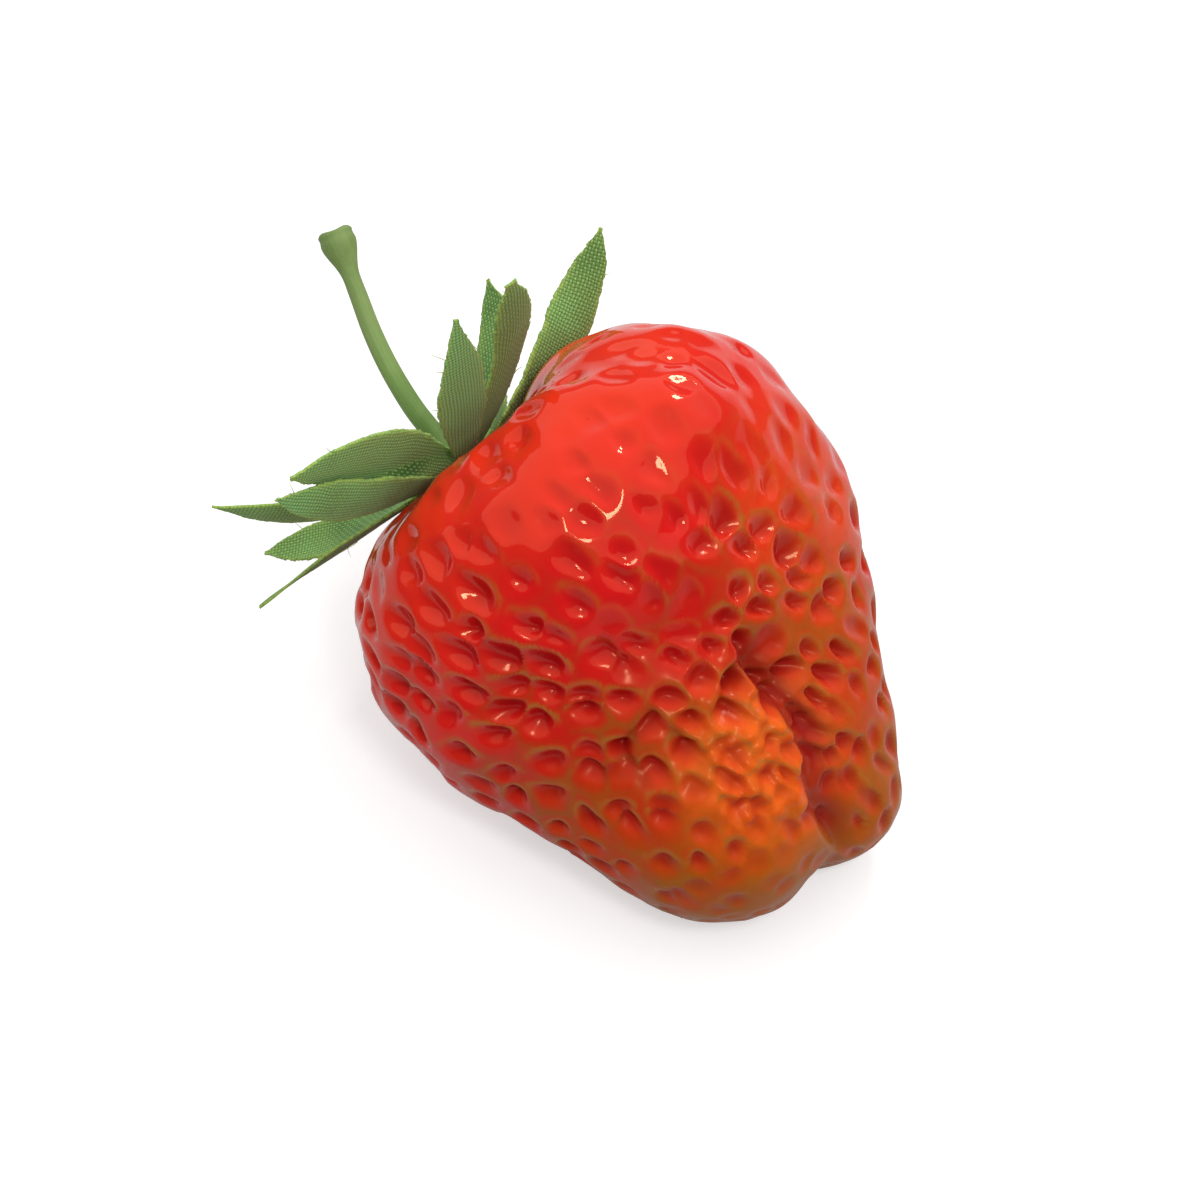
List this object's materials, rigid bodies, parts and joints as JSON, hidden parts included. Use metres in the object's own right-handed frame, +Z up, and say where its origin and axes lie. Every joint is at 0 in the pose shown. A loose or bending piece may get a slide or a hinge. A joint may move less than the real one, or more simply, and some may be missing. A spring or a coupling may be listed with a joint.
{
  "type": "artificial strawberry",
  "caption": "Lacquered artificial strawberry with a dimpled, cleft berry, cloth star leaves and a moulded plastic stem, lying on its side.",
  "frame": {"origin": "middle of the shoulder's flat spot, which the berry rests on as it lies on its side", "axes": "+X points from the crown towards the tip, +Z up, the surface the berry lies on is at Z = 0, and the cleft faces up"},
  "size_m": [0.0854, 0.0619, 0.0575],
  "materials": {
    "red_lacquer": "clear glossy lacquer over red paint that turns orange and olive brown at the tips and on the ridges",
    "leaf_cloth_dark": "plain-woven grey-green cloth, stiffened and die-cut, with a slight nap",
    "leaf_cloth": "plain-woven leaf-green cloth, stiffened and die-cut, with yellow-green cut edges",
    "stem_plastic": "satin grey-green moulded plastic with faint lengthwise streaks"
  },
  "bodies": {
    "root": {"berry_body": "red_lacquer", "calyx_lower": "leaf_cloth_dark", "calyx_upper": "leaf_cloth", "stem": "stem_plastic"}
  },
  "joints": []
}
